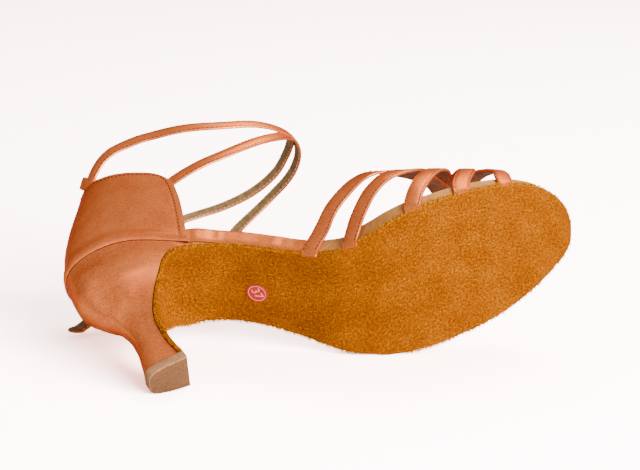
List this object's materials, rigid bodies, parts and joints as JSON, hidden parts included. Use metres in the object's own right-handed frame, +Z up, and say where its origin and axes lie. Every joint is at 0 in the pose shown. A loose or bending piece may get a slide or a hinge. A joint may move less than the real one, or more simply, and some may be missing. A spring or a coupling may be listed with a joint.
{
  "type": "latin dance sandal",
  "caption": "Latin dance sandal, left foot, lying on its outer side: flared heel, closed heel cup, crossed ankle straps and a strappy open toe vamp in tan satin on a suede sole.",
  "frame": {"origin": "centre of the bounding box's bottom face, on the floor the shoe lies on", "axes": "+X from heel to toe, +Y away from the sole's side, +Z up from the floor; the shoe lies on its outer side with its sole towards -Y"},
  "size_m": [0.2248, 0.1648, 0.0919],
  "materials": {
    "satin": "tan satin over a firm backing",
    "suede": "napped suede",
    "insole_leather": "smooth beige leather",
    "metal": "polished",
    "tip": "smooth hard rubber"
  },
  "bodies": {
    "root": {"outsole": "suede", "insole": "insole_leather", "heel": "satin", "heel_tip": "tip", "counter": "satin", "waist_rim_inner": "satin", "waist_rim_outer": "satin", "vamp_straps": "satin", "ankle_straps": "satin", "buckle": "metal", "buckle_prong": "metal", "buckle_tab": "satin", "keeper": "satin", "back_loop": "satin"}
  },
  "joints": []
}
